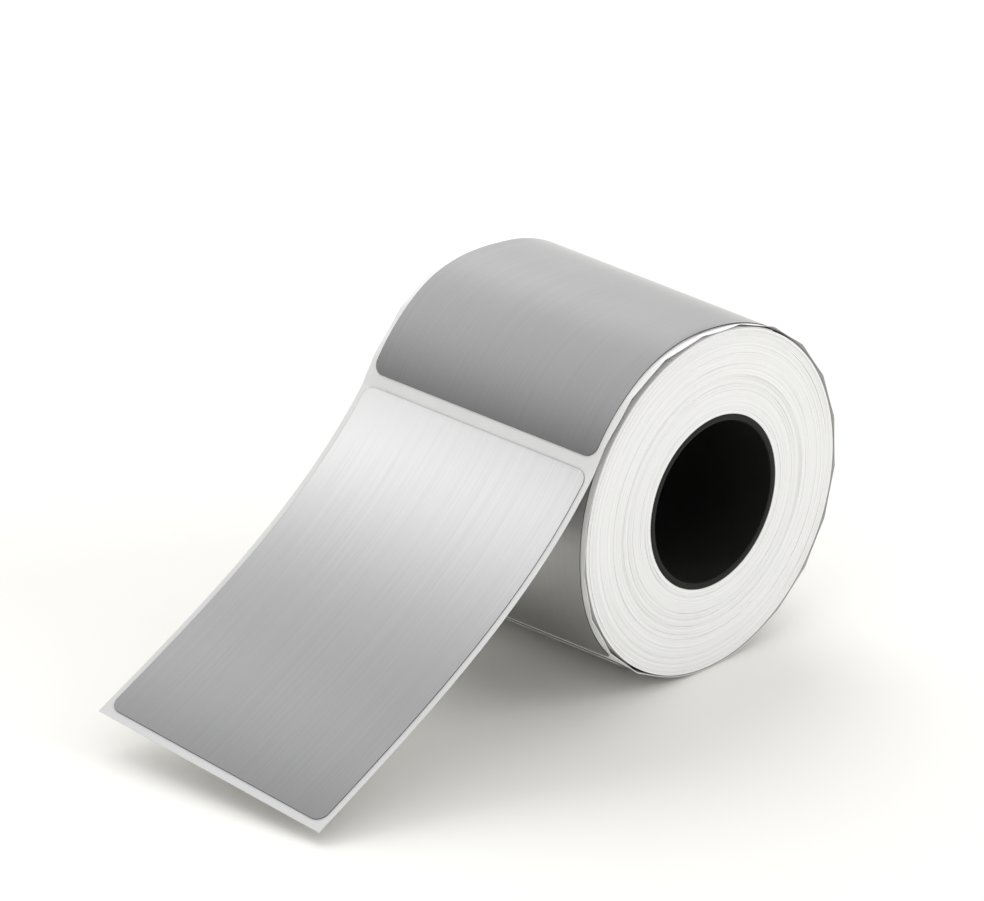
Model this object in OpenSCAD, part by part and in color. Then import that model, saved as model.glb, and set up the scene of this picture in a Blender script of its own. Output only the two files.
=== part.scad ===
// A roll of brushed-silver die-cut labels on a white release liner, wound on a black plastic core.
// The roll's axis lies along Y, and the origin is the middle of the core's bore.
// The free leader comes off the roll's upper left, towards -X, with the first label on it.
// The web is the liner with its labels, and one path along it places every piece of the web.

/* [Core] */
// Diameter of the bore through the core
bore_d = 40; // [25:1:76]
// Wall of the core tube
core_wall = 1.65; // [1.2:0.05:3]

/* [Web] */
// Width of the liner, which is also the length of the core
web_w = 73.2; // [50:0.1:110]
// Thickness of the liner
liner_t = 0.15; // [0.1:0.01:0.3]
// Thickness of a label with its adhesive
label_t = 0.2; // [0.1:0.01:0.3]
// Clearance between one turn of the web and the next
turn_gap = 0.05; // [0.02:0.01:0.1]

/* [Labels] */
// Width of a label, across the web
label_w = 70; // [45:0.5:105]
// Length of a label, along the web
label_l = 105; // [60:1:120]
// Bare liner between one label and the next
label_gap = 3; // [2:0.5:5]
// Radius of a label's corners
label_corner_r = 3; // [1:0.5:5]

/* [Roll] */
// Radius of the tightly wound part of the roll
pack_r = 42.65; // [35:0.05:60]
// Where the wound part's centre lies from the core's, to the left
pack_left = 0.95; // [0:0.05:1.2]
// Where the wound part's centre lies from the core's, upwards
pack_up = 0.25; // [0:0.05:1]
// Where the web leaves the roll, as an angle up from +X
take_off_a = 152.1; // [140:0.1:160]
// How far the last turn stands off the roll at the near end
stand_off_near = 1.9; // [0:0.1:4]
// How far the last turn stands off the roll at the far end
stand_off_far = 3.1; // [0:0.1:5]
// How far the last turn bags out at the lower left, where it is slack
slack = 0.9; // [0:0.1:1.5]

/* [Leader] */
// Length of the leader past the roll
leader_l = 107.5; // [106:0.5:150]
// Slope of the leader where it leaves the roll
leader_a0 = 49.8; // [40:0.1:60]
// Slope of the leader at its tip
leader_a1 = 26.8; // [25:0.1:40]
// How soon the leader's slope eases from the one to the other
leader_ease = 2.5; // [1:0.1:4]
// Twist of the leader's tip about its length
leader_twist = 3.7; // [0:0.1:6]
// Sideways drift of the leader's tip, away from the near end
leader_drift = 2.4; // [0:0.1:3]

/* [Core tape] */
// Thickness of the tape that holds the web's inner end
tape_t = 0.1; // [0.05:0.01:0.2]
// Angle of the core that the tape covers
tape_a = 32; // [10:1:60]
// Length of the tape along the core
tape_l = 60; // [20:1:70]

/* [Hidden] */
$fn = 180;
core_r = bore_d / 2 + core_wall;
inner_turn_r = core_r + tape_t + liner_t;
turn_pitch = liner_t + label_t + turn_gap;
label_inset = (web_w - label_w) / 2;
pack_centre = [-pack_left, pack_up];
// The last turns' strip starts here, under the top label, and runs once round and on to the take-off
web_start_a = -300;
// The last turn starts to lift off the roll here, and is fully off it here
lift_start_a = 81;
lift_end_a = 121;
// The slack stretch of the last turn runs between these
slack_start_a = -185;
slack_end_a = -112;
// The hinge line's gap, which parts the leader from the roll
hinge_gap = 0.15;
// Clearance under the labels on the roll, and under the one that peels
bond_gap = 0.03;
peel_gap = 0.06;
// Step along the web, and the steps round a label's corner
web_step = 3;
corner_steps = 5;
leader_steps = 120;
// Share of its length by which the leader's near side is longer than its middle line
skew = 0.022;
paper = [0.93, 0.93, 0.92];
silver = [0.66, 0.66, 0.67];
black = [0.09, 0.09, 0.09];

// --- The web's path ---------------------------------------------------------------------------

// Runs smoothly from 0 to 1 where the last turn lifts off the roll
function lift(a) =
    let (q = min(1, max(0, (a - lift_start_a) / (lift_end_a - lift_start_a)))) q * q * (3 - 2 * q);

// Rises from 0 to 1 and falls back to 0 along the slack stretch
function bag(a) =
    let (q = min(1, max(0, (a - slack_start_a) / (slack_end_a - slack_start_a)))) pow(sin(180 * q), 2);

// Radius of the liner's inner face on the roll, at an angle a and a place v across, from 0 to 1
function turn_r(a, v) =
    pack_r + turn_gap + turn_pitch * (a - web_start_a) / 360 + slack * bag(a)
    + lift(a) * (stand_off_near + (stand_off_far - stand_off_near) * v);

// A point on the roll, d above the liner's inner face
function on_roll(a, v, d) =
    let (r = turn_r(a, v) + d)
    [pack_centre[0] + r * cos(a), (v - 0.5) * web_w, pack_centre[1] + r * sin(a)];

// Length of web from the take-off back to each angle, paired with that angle
roll_arc = [for (a = take_off_a, s = 0; a >= web_start_a - 3; s = s + turn_r(a, 0.5) * PI / 180, a = a - 1)
            [s, a]];
function angle_at(back) = lookup(back, roll_arc);
roll_web_l = lookup(take_off_a - web_start_a, [for (p = roll_arc) [take_off_a - p[1], p[0]]]);

// Slope of the leader at a length s from the take-off
function slope(s) =
    let (q = min(1, max(0, s / leader_l))) leader_a1 + (leader_a0 - leader_a1) * pow(1 - q, leader_ease);

// Places along the leader's middle line, each a step further on
leader_step = leader_l * (1 + skew) / leader_steps;
take_off = on_roll(take_off_a, 0.5, 0);
leader_line = [for (i = 0, p = [take_off[0], take_off[2]]; i <= leader_steps;
                    p = p - leader_step * [cos(slope(i * leader_step)), sin(slope(i * leader_step))],
                    i = i + 1) [i * leader_step, p]];
function line_x(s) = lookup(s, [for (p = leader_line) [p[0], p[1][0]]]);
function line_z(s) = lookup(s, [for (p = leader_line) [p[0], p[1][1]]]);

// A point on the leader, d above the liner's inner face
twist_start = atan((stand_off_far - stand_off_near) / web_w);
function on_leader(s, v, d) =
    let (far = v - 0.5, q = s / leader_l, along = s * (1 - 2 * skew * far), a = slope(along),
         twist = twist_start + (leader_twist - twist_start) * q,
         across = far * web_w * cos(twist) - d * sin(twist),
         up = far * web_w * sin(twist) + d * cos(twist))
    [line_x(along) - up * sin(a), across + leader_drift * q * q, line_z(along) + up * cos(a)];

// A point on the web: s is its length past the take-off, below 0 on the roll
function on_web(s, v, d) = s > 0 ? on_leader(s, v, d) : on_roll(angle_at(-s), v, d);

// --- Pieces of the web ------------------------------------------------------------------------

// How far a rounded corner draws the side in, e from the end
function corner_inset(e, r) = e >= r ? 0 : r - sqrt(max(0, r * r - (r - e) * (r - e)));

// Places along a piece from s0 to s1: close together round its corners, then at the web's own steps,
// which every piece shares, so that the faces of a label and its liner run side by side
function stations(s0, s1, r) =
    let (m = r > 0 ? corner_steps : 0, first = ceil((s0 + r) / web_step + 0.1),
         last = floor((s1 - r) / web_step - 0.1))
    concat([for (i = [0 : 1 : m]) s0 + r * (1 - cos(90 * i / max(1, m)))],
           [for (i = [first : last]) i * web_step],
           [for (i = [m : -1 : 0]) s1 - r * (1 - cos(90 * i / max(1, m)))]);

// A thin sheet on the web from s0 to s1, inset from its sides, between the heights d0 and d1
module sheet(s0, s1, inset, d0, d1, r) {
    places = stations(s0, s1, r);
    last = len(places) - 1;
    points = [for (s = places)
        let (side = (inset + corner_inset(min(s - s0, s1 - s), r)) / web_w)
        for (corner = [[side, d0], [1 - side, d0], [1 - side, d1], [side, d1]])
            on_web(s, corner[0], corner[1])];
    // Both faces are cut along the same diagonals, so that a twisted sheet keeps its thickness
    walls = [for (i = [0 : last - 1], k = [0 : 3])
        let (a = 4 * i + k, b = 4 * i + (k + 1) % 4)
        for (t = k < 2 ? [[a, b, b + 4], [a, b + 4, a + 4]] : [[a, b, a + 4], [b, b + 4, a + 4]]) t];
    end = 4 * last;
    caps = [[0, 2, 1], [0, 3, 2], [end, end + 1, end + 2], [end, end + 2, end + 3]];
    polyhedron(points, concat(walls, caps));
}

// One label, whose end nearer the leader's tip is at s
module label(s, lifted = bond_gap) {
    sheet(s - label_l, s, label_inset, liner_t + lifted, liner_t + label_t, label_corner_r);
}

// --- Sub-parts --------------------------------------------------------------------------------

// Turns a shape built along Z so that it lies along the roll's axis
module along_axis() {
    rotate([90, 0, 0]) children();
}

// Black plastic tube that the web is wound on
module core() {
    color(black) along_axis() difference() {
        cylinder(h = web_w, r = core_r, center = true);
        cylinder(h = web_w + 2, r = bore_d / 2, center = true);
    }
}

// Double-sided tape that holds the web's inner end to the core
module core_tape() {
    color("gold") along_axis() translate([0, 0, -tape_l / 2])
        rotate_extrude(angle = tape_a) translate([core_r, 0]) square([tape_t, tape_l]);
}

// First turn of bare liner, over the tape
module liner_inner_turn() {
    color(paper) along_axis() difference() {
        cylinder(h = web_w, r = inner_turn_r, center = true);
        cylinder(h = web_w + 2, r = core_r, center = true);
        translate([0, 0, -tape_l / 2])
            rotate_extrude(angle = tape_a) translate([core_r - tape_t, 0]) square([2 * tape_t, tape_l]);
    }
}

// The turns between the first and the last, liner and labels together
module wound_turns() {
    color(paper) along_axis() difference() {
        translate(pack_centre) cylinder(h = web_w, r = pack_r, center = true);
        cylinder(h = web_w + 2, r = inner_turn_r, center = true);
    }
}

// The last turn and a quarter of liner, up to the take-off
module liner_outer_turn() {
    color(paper) sheet(-roll_web_l, -hinge_gap, 0, 0, liner_t, 0);
}

// The label under the leader
module label_under() {
    color(silver) label(-3 * label_gap - 2 * label_l);
}

// The label round the back and the underside
module label_rear() {
    color(silver) label(-2 * label_gap - label_l);
}

// The label over the top of the roll
module label_top() {
    color(silver) label(-label_gap);
}

// The free end of the liner
module liner_leader() {
    color(paper) sheet(hinge_gap, leader_l, 0, 0, liner_t, 0);
}

// The first label, on the leader
module label_front() {
    color(silver) label(label_l + 2 * hinge_gap, peel_gap);
}

core();
core_tape();
liner_inner_turn();
wound_turns();
liner_outer_turn();
label_under();
label_rear();
label_top();
liner_leader();
label_front();
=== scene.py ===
import math

import bpy
import numpy as np
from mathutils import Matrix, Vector


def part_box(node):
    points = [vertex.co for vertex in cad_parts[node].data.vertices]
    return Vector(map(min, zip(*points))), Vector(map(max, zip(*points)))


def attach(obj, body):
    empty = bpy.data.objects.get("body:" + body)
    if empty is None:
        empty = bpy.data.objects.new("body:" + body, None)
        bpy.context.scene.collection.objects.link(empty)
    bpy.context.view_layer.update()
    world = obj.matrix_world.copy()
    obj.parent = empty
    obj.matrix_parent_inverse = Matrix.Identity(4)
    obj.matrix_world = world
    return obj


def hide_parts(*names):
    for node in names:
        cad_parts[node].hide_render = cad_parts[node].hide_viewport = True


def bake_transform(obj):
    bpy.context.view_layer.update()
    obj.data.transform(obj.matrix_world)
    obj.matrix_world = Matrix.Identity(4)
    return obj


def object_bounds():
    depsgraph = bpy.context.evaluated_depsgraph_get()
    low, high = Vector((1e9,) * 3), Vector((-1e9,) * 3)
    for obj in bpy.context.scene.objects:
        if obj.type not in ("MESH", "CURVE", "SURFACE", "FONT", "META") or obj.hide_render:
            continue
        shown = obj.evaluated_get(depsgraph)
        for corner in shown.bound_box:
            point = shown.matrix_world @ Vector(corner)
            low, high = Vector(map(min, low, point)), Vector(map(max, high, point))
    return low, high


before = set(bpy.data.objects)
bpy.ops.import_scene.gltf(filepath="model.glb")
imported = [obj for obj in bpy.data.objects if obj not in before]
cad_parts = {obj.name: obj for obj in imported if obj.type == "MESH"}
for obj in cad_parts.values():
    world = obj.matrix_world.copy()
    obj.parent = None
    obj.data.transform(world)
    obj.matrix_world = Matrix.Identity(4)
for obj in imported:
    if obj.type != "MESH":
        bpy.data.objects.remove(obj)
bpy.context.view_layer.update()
mm = 0.001

# === Camera ===================================================================================
# A long lens, far off, that looks down on the near end of the roll and along the free leader.
view_azimuth = math.radians(-46.79)
view_elevation = math.radians(25.08)
view_distance = 4.692
aim = Vector((-31.8, 4.7, 10.9)) * mm
back = Vector((
    math.sin(view_azimuth) * math.cos(view_elevation),
    -math.cos(view_azimuth) * math.cos(view_elevation),
    math.sin(view_elevation),
))
camera = bpy.data.objects.new("camera", bpy.data.cameras.new("camera"))
camera.data.lens = 731.7
camera.data.sensor_width = 36
camera.data.clip_start = 0.1
camera.data.clip_end = 50
camera.location = aim + back * view_distance
camera.rotation_euler = (-back).to_track_quat("-Z", "Y").to_euler()
bpy.context.scene.collection.objects.link(camera)
bpy.context.scene.camera = camera
bpy.context.scene.view_settings.view_transform = "Standard"

# === Studio ===================================================================================
# A white room: a white sky that is brightest overhead, a wide low window behind on the right, a
# broad soft lamp high up behind the roll, another low in front of its near end, and a white floor.
sky_overhead = 1.00
sky_level = 0.0
sky_full_height = 0.8
window_light = 0.72
window_from = (0.80, 0.58, 0.12)
window_reach = (0.65, 0.97)
floor_size = 6.0
floor_white = (0.85, 0.844, 0.812, 1)
floor_roughness = 0.9
# Each lamp's strength, how many degrees wide it looks, and the direction it shines from
lamps = {
    "lamp_behind": (1.38, 52, (0.30, 0.58, 0.64)),
    "lamp_in_front": (1.10, 38, (0.52, -0.74, 0.34)),
}

world = bpy.data.worlds.new("white_room")
world.use_nodes = True
world.node_tree.nodes["Background"].inputs["Color"].default_value = (1, 1, 1, 1)
sky_place = world.node_tree.nodes.new("ShaderNodeTexCoord").outputs["Generated"]


def glow(direction, dark_at, full_at, low, high):
    """A part of the sky's strength. It runs smoothly from low, where the cosine of the angle from
    a direction is dark_at, to high, where it is full_at."""
    cosine = world.node_tree.nodes.new("ShaderNodeVectorMath")
    cosine.operation = "DOT_PRODUCT"
    cosine.inputs[1].default_value = Vector(direction).normalized()
    strength = world.node_tree.nodes.new("ShaderNodeMapRange")
    strength.interpolation_type = "SMOOTHSTEP"
    for key, value in (("From Min", dark_at), ("From Max", full_at), ("To Min", low), ("To Max", high)):
        strength.inputs[key].default_value = value
    world.node_tree.links.new(sky_place, cosine.inputs[0])
    world.node_tree.links.new(cosine.outputs["Value"], strength.inputs["Value"])
    return strength.outputs[0]


# Seen straight from the camera the room is plain white, and the roll gets the sky's own light
sky_sum = world.node_tree.nodes.new("ShaderNodeMath")
world.node_tree.links.new(glow((0, 0, 1), 0, sky_full_height, sky_level, sky_overhead), sky_sum.inputs[0])
world.node_tree.links.new(glow(window_from, *window_reach, 0, window_light), sky_sum.inputs[1])
backdrop = world.node_tree.nodes.new("ShaderNodeMath")
backdrop.operation = "MAXIMUM"
world.node_tree.links.new(sky_sum.outputs[0], backdrop.inputs[0])
world.node_tree.links.new(world.node_tree.nodes.new("ShaderNodeLightPath").outputs["Is Camera Ray"],
                          backdrop.inputs[1])
world.node_tree.links.new(backdrop.outputs[0], world.node_tree.nodes["Background"].inputs["Strength"])
bpy.context.scene.world = world

for name, (light, spread_angle, direction) in lamps.items():
    lamp = bpy.data.objects.new(name, bpy.data.lights.new(name, "SUN"))
    lamp.data.energy = light
    lamp.data.angle = math.radians(spread_angle)
    lamp.rotation_euler = Vector(direction).to_track_quat("Z", "Y").to_euler()
    lamp.visible_glossy = False
    bpy.context.scene.collection.objects.link(lamp)

floor_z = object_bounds()[0].z
floor_mesh = bpy.data.meshes.new("floor")
floor_mesh.from_pydata(
    [(x * floor_size, y * floor_size, floor_z) for x, y in ((-1, -1), (1, -1), (1, 1), (-1, 1))],
    [], [(0, 1, 2, 3)])
floor = bpy.data.objects.new("floor", floor_mesh)
bpy.context.scene.collection.objects.link(floor)
floor_finish = bpy.data.materials.new("floor_white")
floor_finish.use_nodes = True
floor_finish.node_tree.nodes["Principled BSDF"].inputs["Base Color"].default_value = floor_white
floor_finish.node_tree.nodes["Principled BSDF"].inputs["Roughness"].default_value = floor_roughness
floor_mesh.materials.append(floor_finish)

# === Core =====================================================================================
# A black extruded plastic tube that the web is wound on, cut off at the width of the web, with
# the sharp corners of its cut ends just broken. Faint draw lines run along its bore.
core_low, core_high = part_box("core")
web_width = core_high.y - core_low.y
core_radius = (core_high.x - core_low.x) / 2
core_wall = 1.65 * mm
core_edge = 0.25 * mm
core_edge_points = 5
core_sides = 192
core_black = (0.012, 0.012, 0.0115, 1)
core_grey = (0.018, 0.018, 0.0172, 1)
core_specular = 0.1
core_roughness = (0.36, 0.48)
core_clouds_per_metre = 140
core_lines_per_metre = (1400, 25, 1400)
core_line_depth = 0.012 * mm


def add_piece(name, points, faces, finish, smooth_below):
    """Makes a mesh object at the origin from arrays of points and of four-cornered faces, smooth
    across every edge that bends by less than smooth_below degrees."""
    mesh = bpy.data.meshes.new(name)
    mesh.from_pydata(points.reshape(-1, 3).tolist(), [], faces.tolist())
    mesh.shade_smooth()
    mesh.set_sharp_from_angle(angle=math.radians(smooth_below))
    mesh.materials.append(finish)
    piece = bpy.data.objects.new(name, mesh)
    bpy.context.scene.collection.objects.link(piece)
    return piece


def grid_faces(rows, columns, closed_rows, closed_columns):
    """Corner numbers of the faces of a grid of points stored row by row. A closed grid joins its
    last row, or column, to its first."""
    row = np.arange(rows if closed_rows else rows - 1)[:, None]
    column = np.arange(columns if closed_columns else columns - 1)[None, :]
    next_row, next_column = (row + 1) % rows, (column + 1) % columns
    corners = (row * columns + column, next_row * columns + column,
               next_row * columns + next_column, row * columns + next_column)
    return np.stack(corners, axis=-1).reshape(-1, 4)


def lathe(profile, sides):
    """Carries a closed profile of (radius, y) points once round the Y axis. At an angle a the
    point is radius times the cosine of a in x, and less radius times the sine of a in z."""
    turn = np.linspace(0, 2 * math.pi, sides, endpoint=False)[:, None]
    radius, along = profile[:, 0][None, :], profile[:, 1][None, :]
    points = np.stack([radius * np.cos(turn), along + 0 * turn, -radius * np.sin(turn)], axis=-1)
    return points, grid_faces(sides, len(profile), True, True)


def rounded_section(inner, outer, low, high, edge, edge_points):
    """Outline of a tube's wall: a rectangle from inner to outer radius and from low to high, its
    four corners turned into quarter circles of radius edge, with edge_points points each."""
    quarter = np.linspace(0, math.pi / 2, edge_points)
    centres = ((outer - edge, high - edge), (inner + edge, high - edge),
               (inner + edge, low + edge), (outer - edge, low + edge))
    corners = [np.stack([r + edge * np.cos(quarter + k * math.pi / 2),
                         y + edge * np.sin(quarter + k * math.pi / 2)], axis=-1)
               for k, (r, y) in enumerate(centres)]
    return np.concatenate(corners)


# The grain that every finish below is broken up with, as two noises: a fine one and a broad one
grain = bpy.data.node_groups.new("grain", "ShaderNodeTree")
grain.interface.new_socket("Place", in_out="INPUT", socket_type="NodeSocketVector")
grain.interface.new_socket("Fine per metre", in_out="INPUT", socket_type="NodeSocketFloat")
grain.interface.new_socket("Broad per metre", in_out="INPUT", socket_type="NodeSocketFloat")
grain.interface.new_socket("Fine", in_out="OUTPUT", socket_type="NodeSocketFloat")
grain.interface.new_socket("Broad", in_out="OUTPUT", socket_type="NodeSocketFloat")
grain_in = grain.nodes.new("NodeGroupInput")
grain_out = grain.nodes.new("NodeGroupOutput")
for size in ("Fine", "Broad"):
    noise = grain.nodes.new("ShaderNodeTexNoise")
    noise.inputs["Detail"].default_value = 3
    grain.links.new(grain_in.outputs["Place"], noise.inputs["Vector"])
    grain.links.new(grain_in.outputs[size + " per metre"], noise.inputs["Scale"])
    grain.links.new(noise.outputs[0], grain_out.inputs[size])


def new_finish(name, roughness):
    """A plain node material with one roughness, and its Principled BSDF."""
    finish = bpy.data.materials.new(name)
    finish.use_nodes = True
    shader = finish.node_tree.nodes["Principled BSDF"]
    shader.inputs["Roughness"].default_value = roughness
    return finish, shader


def add_node(finish, kind, links, **settings):
    """Adds a node to a material. settings are the node's own properties, and links are pairs of
    an input and what goes in it: another node's output, or a plain value."""
    node = finish.node_tree.nodes.new(kind)
    for key, value in settings.items():
        setattr(node, key, value)
    for key, source in links:
        if isinstance(source, bpy.types.NodeSocket):
            finish.node_tree.links.new(source, node.inputs[key])
        else:
            node.inputs[key].default_value = source
    return node


def object_place(finish):
    """The place on the piece, in metres."""
    return add_node(finish, "ShaderNodeTexCoord", []).outputs["Object"]


def stretched(finish, place, per_metre):
    """The place multiplied by a number of its own in each direction."""
    return add_node(finish, "ShaderNodeMapping", [
        ("Vector", place), ("Scale", per_metre)]).outputs[0]


def add_grain(finish, place, fine, broad):
    """The fine and the broad noise on a place, with that many spots to the metre."""
    node = add_node(finish, "ShaderNodeGroup", [], node_tree=grain)
    finish.node_tree.links.new(place, node.inputs["Place"])
    node.inputs["Fine per metre"].default_value = fine
    node.inputs["Broad per metre"].default_value = broad
    return node.outputs["Fine"], node.outputs["Broad"]


def spread(finish, value, low, high):
    """A noise, whose values lie mostly between 0.3 and 0.7, spread out from low to high."""
    return add_node(finish, "ShaderNodeMapRange", [
        ("Value", value), ("From Min", 0.3), ("From Max", 0.7), ("To Min", low), ("To Max", high)
    ]).outputs[0]


def mix_colours(finish, share, first, second):
    """The first colour where share is 0, and the second where it is 1."""
    return add_node(finish, "ShaderNodeMix", [(0, share), (6, first), (7, second)],
                    data_type="RGBA").outputs[2]


def add_bumps(finish, shader, height, depth):
    """Raises and lowers the surface by a noise, depth metres from its lowest to its highest."""
    bump = add_node(finish, "ShaderNodeBump", [
        ("Height", height), ("Strength", 1.0), ("Distance", depth)])
    finish.node_tree.links.new(bump.outputs[0], shader.inputs["Normal"])


core_finish, core_shader = new_finish("core_black", core_roughness[0])
core_shader.inputs["Specular IOR Level"].default_value = core_specular
_, core_clouds = add_grain(core_finish, object_place(core_finish), 1, core_clouds_per_metre)
core_lines, _ = add_grain(
    core_finish, stretched(core_finish, object_place(core_finish), core_lines_per_metre), 1, 1)
core_finish.node_tree.links.new(
    mix_colours(core_finish, core_clouds, core_black, core_grey), core_shader.inputs["Base Color"])
core_finish.node_tree.links.new(
    spread(core_finish, core_clouds, *core_roughness), core_shader.inputs["Roughness"])
add_bumps(core_finish, core_shader, core_lines, core_line_depth)

core_section = rounded_section(core_radius - core_wall, core_radius, core_low.y, core_high.y,
                               core_edge, core_edge_points)
core_points, core_faces = lathe(core_section, core_sides)
core = add_piece("core_tube", core_points, core_faces, core_finish, smooth_below=40)
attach(core, "roll")
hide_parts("core")

# === Tape on the core =========================================================================
# A strip of double-sided film tape under the first turn. It holds the web's inner end to the
# core. Its modelled strip has the right shape, so it is only given its finish.
tape_amber = (0.78, 0.70, 0.45, 1)
tape_pale = (0.88, 0.82, 0.62, 1)
tape_roughness = 0.25
tape_grain_per_metre = (2500, 300)
tape_grain_depth = 0.005 * mm

tape_finish, tape_shader = new_finish("tape_film", tape_roughness)
tape_fine, tape_broad = add_grain(tape_finish, object_place(tape_finish), *tape_grain_per_metre)
tape_finish.node_tree.links.new(
    mix_colours(tape_finish, tape_broad, tape_amber, tape_pale), tape_shader.inputs["Base Color"])
add_bumps(tape_finish, tape_shader, tape_fine, tape_grain_depth)
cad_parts["core_tape"].data.materials.clear()
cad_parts["core_tape"].data.materials.append(tape_finish)

# === Wound turns ==============================================================================
# About fifty tight turns of liner with labels between them. Only the liner reaches the ends of
# the roll, so each end shows the liner's cut edge turn by turn, some a hair proud of the next,
# with fine gaps where a turn was wound a little slack, painted grey as the shade in them. The
# turns lie a little off the core's centre, because the last ones were wound loosely. The first
# turn, which is bare liner, has the right shape as it was modelled, so it is only given the same finish.
pack_low, pack_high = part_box("wound_turns")
pack_radius = (pack_high.x - pack_low.x) / 2
pack_centre = ((pack_high.x + pack_low.x) / 2, (pack_high.z + pack_low.z) / 2)
first_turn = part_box("liner_inner_turn")[1].x
turn_count = 52
points_per_turn = 4
end_columns = 216
end_level = 0.025 * mm
end_wander = 0.012 * mm
gap_depth = (0.02 * mm, 0.18 * mm)
deep_gaps_rare = 2.5
gap_opening = 0.75
gap_sway = 0.45
gap_widest = 1.6
waves_per_turn = 6
tone_middle = 0.6
tone_spread = 0.28
tone_sway = 0.12
edge_white = (0.895, 0.893, 0.890, 1)
edge_pale = (0.80, 0.798, 0.795, 1)
edge_clouds = (0.8, 1.1)
edge_roughness = 0.65
edge_grain_per_metre = (2600, 60)
edge_grain_depth = 0.02 * mm
# The open gaps between turns are painted grey, as the shade in them, by at most this share
painted_gap_shade = (0.50, 0.50, 0.49, 1)
gap_shade_share = 0.45
winding_seed = 7


def waves_round(angle, count, rng):
    """A smooth wave round the circle with mean 0 and size about 1: the sum of sines of the angle
    with the whole frequencies up to count, each with a random phase."""
    frequency = np.arange(1, count + 1)
    phase = rng.uniform(0, 2 * math.pi, count)
    return np.sin(frequency * angle[:, None] + phase).sum(axis=1) / math.sqrt(count / 2)


def wound_end(angle, rng):
    """How proud one end stands, how open its gaps are, and how white it is, at each step outwards
    and each angle. Each turn has its own level, gap and tone, which come and go round the roll."""
    steps = turn_count * points_per_turn + 1
    turn = np.arange(steps) // points_per_turn
    in_gap = (np.arange(steps) % points_per_turn == 0)[:, None]
    level = rng.normal(0, end_level, turn_count + 1)
    share = rng.uniform(0, 1, turn_count + 1) ** deep_gaps_rare
    depth = gap_depth[0] + (gap_depth[1] - gap_depth[0]) * share
    come_and_go = np.stack([waves_round(angle, waves_per_turn, rng) for _ in range(turn_count + 1)])
    opening = depth[:, None] * np.clip(gap_opening + gap_sway * come_and_go, 0, gap_widest)
    proud = (level[:, None] + end_wander * come_and_go)[turn] - in_gap * opening[turn]
    gap = np.where(in_gap, np.clip(opening[turn] / gap_depth[1], 0, 1), 0)
    tone = (rng.normal(0, tone_spread, turn_count + 1)[:, None] + tone_sway * come_and_go)[turn]
    return proud, gap, np.clip(tone_middle + tone, 0, 1)


def wound_points(rng):
    """Points of the wound turns, their gaps and their tones. At each angle the outline runs out
    across the near end, along the outside, and back in across the far end. A place a share q of
    the way out is the mix, by q, of a circle round the core and one round the turns' own centre."""
    angle = np.linspace(0, 2 * math.pi, end_columns, endpoint=False)
    near, near_gap, near_tone = wound_end(angle, rng)
    far, far_gap, far_tone = wound_end(angle, rng)
    q = np.linspace(0, 1, near.shape[0])[:, None]
    x = (1 - q) * first_turn * np.cos(angle) + q * (pack_centre[0] + pack_radius * np.cos(angle))
    z = (1 - q) * first_turn * np.sin(angle) + q * (pack_centre[1] + pack_radius * np.sin(angle))
    near_side = np.stack([x, core_low.y - near, z], axis=-1)
    far_side = np.stack([x, core_high.y + far, z], axis=-1)[::-1]
    return (np.concatenate([near_side, far_side]), np.concatenate([near_gap, far_gap[::-1]]),
            np.concatenate([near_tone, far_tone[::-1]]))


def give_values(piece, name, kind, values):
    """Stores one value, or one vector, for each of the piece's points."""
    attribute = piece.data.attributes.new(name, kind, "POINT")
    attribute.data.foreach_set("value" if kind == "FLOAT" else "vector",
                               np.ascontiguousarray(values, dtype=np.float32).reshape(-1))


edge_finish, edge_shader = new_finish("wound_edges", edge_roughness)
edge_fine, edge_broad = add_grain(edge_finish, object_place(edge_finish), *edge_grain_per_metre)
edge_gap = add_node(edge_finish, "ShaderNodeAttribute", [], attribute_name="gap").outputs["Fac"]
# Painted shade: where a gap between turns is open, the end is mixed towards grey
edge_gap_shade = add_node(edge_finish, "ShaderNodeMath", [(0, edge_gap), (1, gap_shade_share)],
                     operation="MULTIPLY").outputs[0]
edge_turn = add_node(edge_finish, "ShaderNodeAttribute", [], attribute_name="tone").outputs["Fac"]
edge_cloud = spread(edge_finish, edge_broad, *edge_clouds)
edge_share = add_node(edge_finish, "ShaderNodeMath", [(0, edge_turn), (1, edge_cloud)],
                      operation="MULTIPLY").outputs[0]
edge_paper = mix_colours(edge_finish, edge_share, edge_pale, edge_white)
edge_finish.node_tree.links.new(
    mix_colours(edge_finish, edge_gap_shade, edge_paper, painted_gap_shade), edge_shader.inputs["Base Color"])
add_bumps(edge_finish, edge_shader, edge_fine, edge_grain_depth)

turns_points, turns_gap, turns_tone = wound_points(np.random.default_rng(winding_seed))
turns_faces = grid_faces(turns_points.shape[0], end_columns, True, True)
turns = add_piece("wound_web", turns_points, turns_faces, edge_finish, smooth_below=60)
give_values(turns, "gap", "FLOAT", turns_gap)
give_values(turns, "tone", "FLOAT", turns_tone)
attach(turns, "roll")
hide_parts("wound_turns")
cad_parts["liner_inner_turn"].data.materials.clear()
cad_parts["liner_inner_turn"].data.materials.append(edge_finish)
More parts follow.
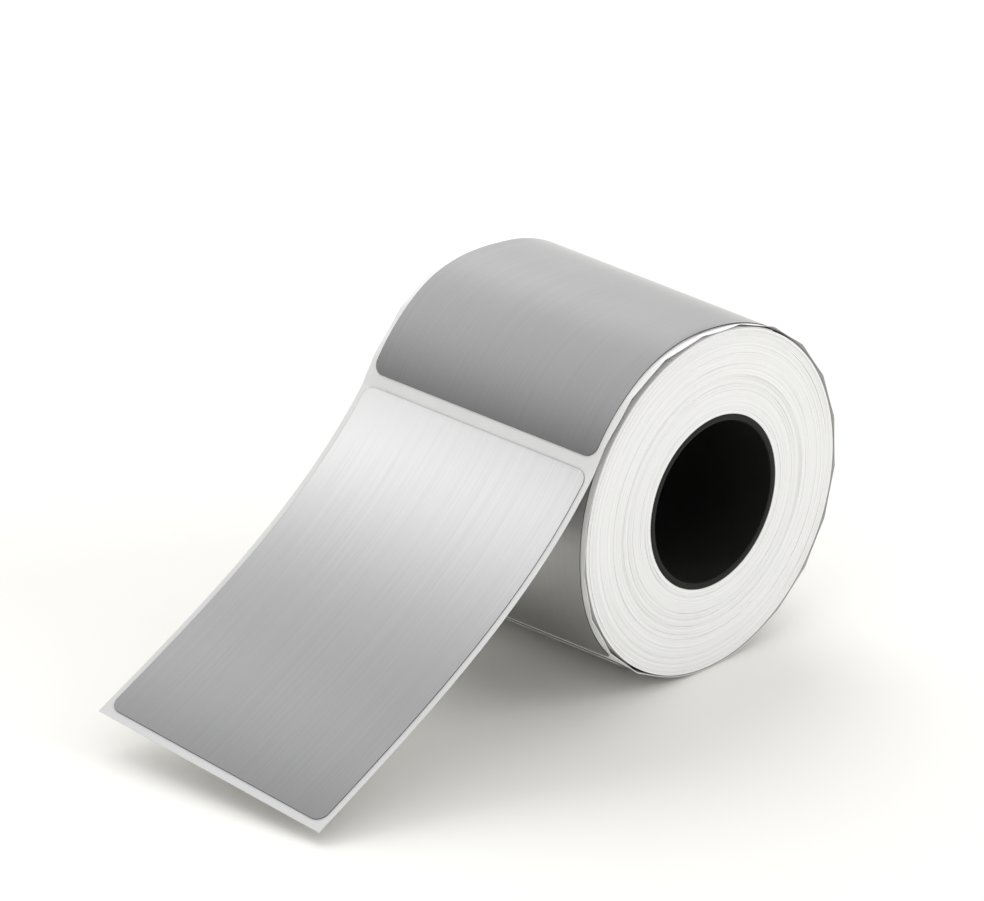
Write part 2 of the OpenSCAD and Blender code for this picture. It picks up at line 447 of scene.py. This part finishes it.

# === Liner ====================================================================================
# One strip of white glassine release paper, with painted shade: its back is painted grey, and its
# face greyer towards the leader's free end. Its last turn stands off the roll where the leader
# pulls at it, and bags a little at the lower left.
# The strip leaves the roll in the gap between two labels and hangs down as the leader, with a
# slight twist from the winding. Beyond the labels its bare edges are creased into flats.
liner_thick = 0.15 * mm
label_thick = 0.20 * mm
turn_gap = 0.05 * mm
turn_pitch = liner_thick + label_thick + turn_gap
strip_start_angle = -300.0
take_off_angle = 152.1
stand_off_near = 1.9 * mm
stand_off_far = 3.1 * mm
lift_angles = (81.0, 121.0)
slack = 0.9 * mm
slack_angles = (-185.0, -112.0)
leader_length = 107.5 * mm
leader_slopes = (49.8, 26.8)
leader_ease = 2.5
leader_twist = 3.7
leader_drift = 2.4 * mm
leader_skew = 0.022
arc_step = 0.25
line_points = 500
line_spare = 1.06
bend_reach = 1.0 * mm
bend_samples = 7
slope_step = 0.2 * mm
slope_share = 0.01
split_length = -14 * mm
hinge_zone = (-2.6 * mm, 0.4 * mm)
turn_row_step = 1.0 * mm
leader_row_step = 0.5 * mm
bare_edge = 1.6 * mm
edge_points = 5
middle_points = 25
crease_angle = 9.75
crease_every = 16.8
crease_rise = 0.55 * mm
creases_begin = (-205, -190)
creases_end = (135, 150)
resting_begins = (-125, -115)
resting_ends = (-65, -52)
# How many mm the bare edges lie above the even strip, at each angle
edge_lie = ((-200, 0), (-175, 0.1), (-148, -0.5), (-120, 0.0), (-60, 0.0), (-40, 0.12),
            (72, 0.12), (98, -0.35), (135, -0.6), (151, 0))
liner_white = (0.91, 0.91, 0.905, 1)
liner_pale = (0.87, 0.87, 0.862, 1)
# Painted shade: the liner's face is mixed towards this grey along the leader, fully from this share of
# the leader's length on
liner_leader_shade = (0.66, 0.66, 0.66, 1)
leader_shade_past = 0.6
# The liner's back is painted grey, as painted shade under the leader and in the wedges at the roll's ends
liner_back_shade = (0.58, 0.577, 0.565, 1)
liner_roughness = (0.40, 0.52)
liner_grain_per_metre = (1800, 90)
liner_grain_depth = 0.01 * mm


def ramp(value, low, high):
    """0 below low, 1 above high, and a straight climb between."""
    return np.clip((value - low) / (high - low), 0, 1)


def turn_radius(angle, across):
    """Radius of the strip's inner face on the roll. It grows by one pitch a turn, swells by the
    square of a sine where the strip is slack, and climbs by 3q^2 - 2q^3 where it lifts off."""
    lift = ramp(angle, *lift_angles)
    return (pack_radius + turn_gap + turn_pitch * (angle - strip_start_angle) / 360
            + slack * np.sin(math.pi * ramp(angle, *slack_angles)) ** 2
            + lift * lift * (3 - 2 * lift) * (stand_off_near + (stand_off_far - stand_off_near) * across))


def roll_point(angle, across):
    """A point of the strip's inner face on the roll, turned from an angle and a radius into
    straight coordinates about the turns' centre."""
    radius, turn = turn_radius(angle, across), np.radians(angle)
    return np.stack([pack_centre[0] + radius * np.cos(turn), (across - 0.5) * web_width + 0 * radius,
                     pack_centre[1] + radius * np.sin(turn)], axis=-1)


# Length of strip from the take-off back to each angle
arc_angles = np.arange(take_off_angle, strip_start_angle - 4, -arc_step)
arc_pieces = turn_radius(arc_angles[:-1], 0.5) * math.radians(arc_step)
arc_lengths = np.concatenate([[0], np.cumsum(arc_pieces)])
roll_length = np.interp(take_off_angle - strip_start_angle, take_off_angle - arc_angles, arc_lengths)

# The leader's middle line: short steps down a slope that eases from the first value to the second
line_length = np.linspace(0, leader_length * line_spare, line_points)
line_ease = (1 - ramp(line_length, 0, leader_length)) ** leader_ease
line_slope = np.radians(leader_slopes[1] + (leader_slopes[0] - leader_slopes[1]) * line_ease)
line_start = roll_point(np.array(take_off_angle), np.array(0.5))
line_x = line_start[0] - np.concatenate([[0], np.cumsum(np.cos(line_slope[:-1]))]) * line_length[1]
line_z = line_start[2] - np.concatenate([[0], np.cumsum(np.sin(line_slope[:-1]))]) * line_length[1]
first_twist = math.degrees(math.atan((stand_off_far - stand_off_near) / web_width))


def leader_point(s, across):
    """A point of the leader's inner face, s along it: the middle line, moved sideways along a
    width that turns with the twist. The near side is a little longer than the far side."""
    far, q = across - 0.5, s / leader_length
    along = s * (1 - 2 * leader_skew * far)
    slope = np.interp(along, line_length, line_slope)
    twist = np.radians(first_twist + (leader_twist - first_twist) * q)
    up = far * web_width * np.sin(twist)
    return np.stack([np.interp(along, line_length, line_x) - up * np.sin(slope),
                     far * web_width * np.cos(twist) + leader_drift * q * q,
                     np.interp(along, line_length, line_z) + up * np.cos(slope)], axis=-1)


def strip_point(s, across):
    """A point of the strip's inner face: on the leader past the take-off, on the roll before."""
    on_roll = roll_point(np.interp(-np.minimum(s, 0), arc_lengths, arc_angles), across)
    return np.where((s > 0)[..., None], leader_point(np.maximum(s, 0), across), on_roll)


def web_point(s, across, height):
    """A point above the strip's inner face. The face is evened out over a short reach each way
    along the strip, and height is measured along its normal, the cross product of its slopes."""
    s, across, height = np.broadcast_arrays(s, across, height)

    def even_face(at, side):
        reach = np.linspace(-bend_reach, bend_reach, bend_samples)
        return sum(strip_point(at + shift, side) for shift in reach) / len(reach)

    along = even_face(s + slope_step, across) - even_face(s - slope_step, across)
    sideways = even_face(s, across + slope_share) - even_face(s, across - slope_share)
    normal = np.cross(along, sideways)
    normal /= -np.linalg.norm(normal, axis=-1, keepdims=True)
    return even_face(s, across) + normal * height[..., None]


def creases(s, side):
    """How far the last turn's bare edges stand out. Beyond the labels the paper is creased into
    flats, so it rises by the square of the way from the middle of a flat to a crease, but not
    where the roll rests on them. Round the roll it lies a little above or below the even strip,
    and more so towards the cut edge."""
    angle = np.interp(-np.minimum(s, 0), arc_lengths, arc_angles)
    from_flat = np.abs(((angle - crease_angle) / crease_every) % 1 - 0.5) * 2
    lie = np.interp(angle, *np.transpose(edge_lie)) * mm
    free = 1 - ramp(np.minimum(side, web_width - side), 0, bare_edge)
    resting = ramp(angle, *resting_begins) * (1 - ramp(angle, *resting_ends))
    creased = ramp(angle, *creases_begin) * (1 - ramp(angle, *creases_end)) * (1 - resting)
    return (crease_rise * from_flat ** 2 * creased + lie) * free


def sheet_piece(name, lengths, sides, low, high, finish, raised):
    """A thin closed sheet on the strip, from height low to height high, raised by a function of
    the length and the place across. sides holds the places across for each length. Each row of
    points runs out along the lower face and back along the upper one, and both ends are closed.
    The length and the place across of each point are given back with the piece."""
    rows, columns = sides.shape
    s = np.repeat(lengths[:, None], 2 * columns, axis=1)
    side = np.concatenate([sides, sides[:, ::-1]], axis=1)
    height = np.where(np.arange(2 * columns) < columns, low, high) + raised(s, side)
    lower = np.arange(columns - 1)
    upper = 2 * columns - 1 - lower
    first_end = np.stack([lower, lower + 1, upper - 1, upper], axis=-1)
    last_end = first_end[:, ::-1] + (rows - 1) * 2 * columns
    faces = np.concatenate([grid_faces(rows, 2 * columns, False, True), first_end, last_end])
    piece = add_piece(name, web_point(s, side / web_width, height), faces, finish, smooth_below=35)
    return piece, s, side


def paper_strip(name, start, end, step, finish):
    """A full-width length of liner, with rows of points step apart. Each point keeps whether it is
    on the back, and how much painted shade it gets towards the leader's free end."""
    lengths = np.linspace(start, end, int((end - start) / step) + 2)
    edge = np.linspace(0, bare_edge, edge_points)
    middle = np.linspace(bare_edge, web_width - bare_edge, middle_points)
    across = np.concatenate([edge, middle[1:-1], web_width - edge[::-1]])
    sides = np.repeat(across[None, :], len(lengths), axis=0)
    strip, s, side = sheet_piece(name, lengths, sides, 0.0, liner_thick, finish, creases)
    on_back = np.where(np.arange(side.shape[1]) < len(across), 1, 0)
    give_values(strip, "back", "FLOAT", on_back + 0 * s)
    give_values(strip, "leader_shade", "FLOAT", ramp(s, 0, leader_shade_past * leader_length))
    return strip


liner_finish, liner_shader = new_finish("liner_white", liner_roughness[0])
liner_fine, liner_broad = add_grain(
    liner_finish, object_place(liner_finish), *liner_grain_per_metre)
liner_under = add_node(liner_finish, "ShaderNodeAttribute", [], attribute_name="back").outputs["Fac"]
liner_shade_share = add_node(liner_finish, "ShaderNodeAttribute", [], attribute_name="leader_shade").outputs["Fac"]
liner_cloud = spread(liner_finish, liner_broad, 0, 1)
liner_face = mix_colours(liner_finish, liner_cloud, liner_pale, liner_white)
# Painted shade, growing towards the leader's free end
liner_face = mix_colours(liner_finish, liner_shade_share, liner_face, liner_leader_shade)
# Painted shade: the back of the liner is mixed to grey
liner_finish.node_tree.links.new(
    mix_colours(liner_finish, liner_under, liner_face, liner_back_shade), liner_shader.inputs["Base Color"])
liner_finish.node_tree.links.new(
    spread(liner_finish, liner_fine, *liner_roughness), liner_shader.inputs["Roughness"])
add_bumps(liner_finish, liner_shader, liner_fine, liner_grain_depth)

last_turn = paper_strip(
    "liner_last_turn", -roll_length, split_length, turn_row_step, liner_finish)
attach(last_turn, "roll")
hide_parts("liner_outer_turn")
leader = paper_strip(
    "liner_leader_strip", split_length, leader_length, leader_row_step, liner_finish)
web_point(np.array(hinge_zone[0]), 0.5, 0.0).tolist()
web_point(np.array(hinge_zone[1]), 0.5, 0.0).tolist()
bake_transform(leader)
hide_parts("liner_leader")

# === Labels ===================================================================================
# Die-cut labels of brushed silver film with adhesive on the back, with rounded corners, 3 mm apart
# on the liner. Their cut edges are painted dark, as the shade along them. The brushing runs along
# the web. The silver's colour carries a painted sheen: darkest at the end of each label that leads
# off the roll, and a little darker on its near side as painted shade. The near edge of the top
# label has sprung a little off the liner, where the last turn lifts.
label_length = 105 * mm
label_width = 70 * mm
label_gap = 3 * mm
label_root_gap = 0.3 * mm
label_corner = 3 * mm
label_corner_points = 13
label_middle_rows = 100
label_columns = 36
label_rim = (0, 0.06 * mm, 0.12 * mm, 0.24 * mm)
label_rim_width = 0.5 * mm
# The body each label moves with, where on the web its leading end is, and its clearance above
# the liner
labels = {
    "front": ("front_label", label_root_gap + label_length, 0.06 * mm),
    "top": ("roll", -label_gap, 0.03 * mm),
    "rear": ("roll", -2 * label_gap - label_length, 0.03 * mm),
    "under": ("roll", -3 * label_gap - 2 * label_length, 0.03 * mm),
}
# Painted shade along each label's cut edge: how far in it reaches, and its colour
painted_edge_shade = 0.06 * mm
painted_edge_shade_colour = (0.06, 0.06, 0.06, 1)
# Painted sheen: how bright the silver's colour is at each share of the way back from the leading end
painted_sheen_along = ((0.0, 0.33), (0.12, 0.42), (0.25, 0.46), (0.38, 0.44),
                (0.55, 0.54), (0.70, 0.74), (0.84, 0.96), (0.94, 1.0))
silver_blue = 1.005
silver_roughness = (0.33, 0.45)
silver_streaks = (0.93, 1.055)
silver_bands = (0.98, 1.02)
silver_brush_depth = 0.004 * mm
brush_fine_per_metre = (40, 5200, 50)
brush_broad_per_metre = (9, 900, 50)
# Painted shade across each label: its colour is darker on the near side and lighter on the far side
side_shade_near = 0.93
side_shade_far = 1.05
sprung_edge = 0.35 * mm
sprung_reach = 1.5 * mm
sprung_angles = (60.0, 130.0)


def sprung(s, side):
    """How far the near edge of the top label springs off the liner, where the last turn lifts: the
    square of a sine along it, and the square of the way out to the edge across it."""
    angle = np.interp(-np.minimum(s, 0), arc_lengths, arc_angles)
    near_edge = (web_width - label_width) / 2
    out = 1 - ramp(side, near_edge, near_edge + sprung_reach)
    return sprung_edge * np.sin(math.pi * ramp(angle, *sprung_angles)) ** 2 * out ** 2


def label_piece(name, lead, clearance, finish):
    """A label whose leading end is at lead. Its sides follow the rounded outline: within a corner
    radius r of an end, e from it, the side is drawn in by r less the root of r^2 - (r - e)^2. Each
    point keeps how near it is to the cut edge, for the painted shade there, and its place on the label."""
    corner = label_corner * (1 - np.cos(np.linspace(0, math.pi / 2, label_corner_points)))
    middle = np.linspace(label_corner, label_length - label_corner, label_middle_rows)
    from_end = np.concatenate([corner[:-1], middle, label_length - corner[-2::-1]])
    e = np.minimum(from_end, label_length - from_end)
    short = label_corner - np.minimum(e, label_corner)
    drawn_in = label_corner - np.sqrt(label_corner ** 2 - short ** 2)
    low_side = (web_width - label_width) / 2 + drawn_in[:, None]
    rim = np.array(label_rim)
    q = np.linspace(0, 1, label_columns)[None, :]
    inner_low = low_side + label_rim_width
    sides = np.concatenate([low_side + rim, inner_low + (web_width - 2 * inner_low) * q,
                            web_width - low_side - rim[::-1]], axis=1)
    piece, s, side = sheet_piece(name, lead - label_length + from_end, sides,
                                 liner_thick + clearance, liner_thick + label_thick, finish,
                                 sprung)
    past_s = np.abs(lead - label_length / 2 - s) - (label_length / 2 - label_corner)
    past_side = np.abs(side - web_width / 2) - (label_width / 2 - label_corner)
    outside = np.hypot(np.maximum(past_s, 0), np.maximum(past_side, 0))
    inside = label_corner - outside - np.minimum(np.maximum(past_s, past_side), 0)
    give_values(piece, "painted_edge_shade", "FLOAT", 1 - np.clip(inside / painted_edge_shade, 0, 1))
    on_label = np.stack([lead - s, side, lead + 0 * s], axis=-1)
    give_values(piece, "on_label", "FLOAT_VECTOR", on_label)
    return piece


silver, silver_shader = new_finish("brushed_silver_with_painted_sheen", silver_roughness[0])
silver_shader.inputs["Metallic"].default_value = 1.0
silver_place = add_node(silver, "ShaderNodeAttribute", [], attribute_name="on_label").outputs["Vector"]
silver_lines, _ = add_grain(silver, stretched(silver, silver_place, brush_fine_per_metre), 1, 1)
silver_broad, _ = add_grain(silver, stretched(silver, silver_place, brush_broad_per_metre), 1, 1)
silver_parts = add_node(silver, "ShaderNodeSeparateXYZ", [("Vector", silver_place)])
silver_across = silver_parts.outputs["Y"]
silver_run = add_node(silver, "ShaderNodeMath", [(0, silver_parts.outputs["X"]), (1, label_length)],
                      operation="DIVIDE").outputs[0]
# Painted sheen: the silver's colour follows the table above along each label
painted_sheen_ramp = add_node(silver, "ShaderNodeValToRGB", [("Fac", silver_run)])
painted_sheen_ramp.color_ramp.interpolation = "B_SPLINE"
for place, _ in painted_sheen_along[1:-1]:
    painted_sheen_ramp.color_ramp.elements.new(place)
for element, (place, tone) in zip(painted_sheen_ramp.color_ramp.elements, painted_sheen_along):
    element.position = place
    element.color = (tone, tone, tone * silver_blue, 1)
silver_streak = spread(silver, silver_lines, *silver_streaks)
silver_band = spread(silver, silver_broad, *silver_bands)
# Painted shade across the label, from its near side to its far side
silver_side_shade = add_node(silver, "ShaderNodeMapRange", [
    ("Value", silver_across), ("From Max", web_width), ("To Min", side_shade_near), ("To Max", side_shade_far)
]).outputs[0]
silver_grain_and_side_shade = add_node(silver, "ShaderNodeMath", [(0, silver_streak), (1, silver_band)],
                        operation="MULTIPLY").outputs[0]
silver_grain_and_side_shade = add_node(silver, "ShaderNodeMath", [(0, silver_grain_and_side_shade), (1, silver_side_shade)],
                        operation="MULTIPLY").outputs[0]
silver_sheen_shade_and_grain = add_node(silver, "ShaderNodeVectorMath", [
    (0, painted_sheen_ramp.outputs["Color"]), (1, silver_grain_and_side_shade)
], operation="MULTIPLY").outputs[0]
# Painted shade along the cut edge
silver_edge_shade = add_node(silver, "ShaderNodeAttribute", [], attribute_name="painted_edge_shade").outputs["Fac"]
silver.node_tree.links.new(
    mix_colours(silver, silver_edge_shade, silver_sheen_shade_and_grain, painted_edge_shade_colour), silver_shader.inputs["Base Color"])
silver.node_tree.links.new(
    spread(silver, silver_lines, *silver_roughness), silver_shader.inputs["Roughness"])
add_bumps(silver, silver_shader, silver_lines, silver_brush_depth)

for where, (body, lead, clearance) in labels.items():
    label = label_piece("label_sheet_" + where, lead, clearance, silver)
    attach(label, body)
    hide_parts("label_" + where)
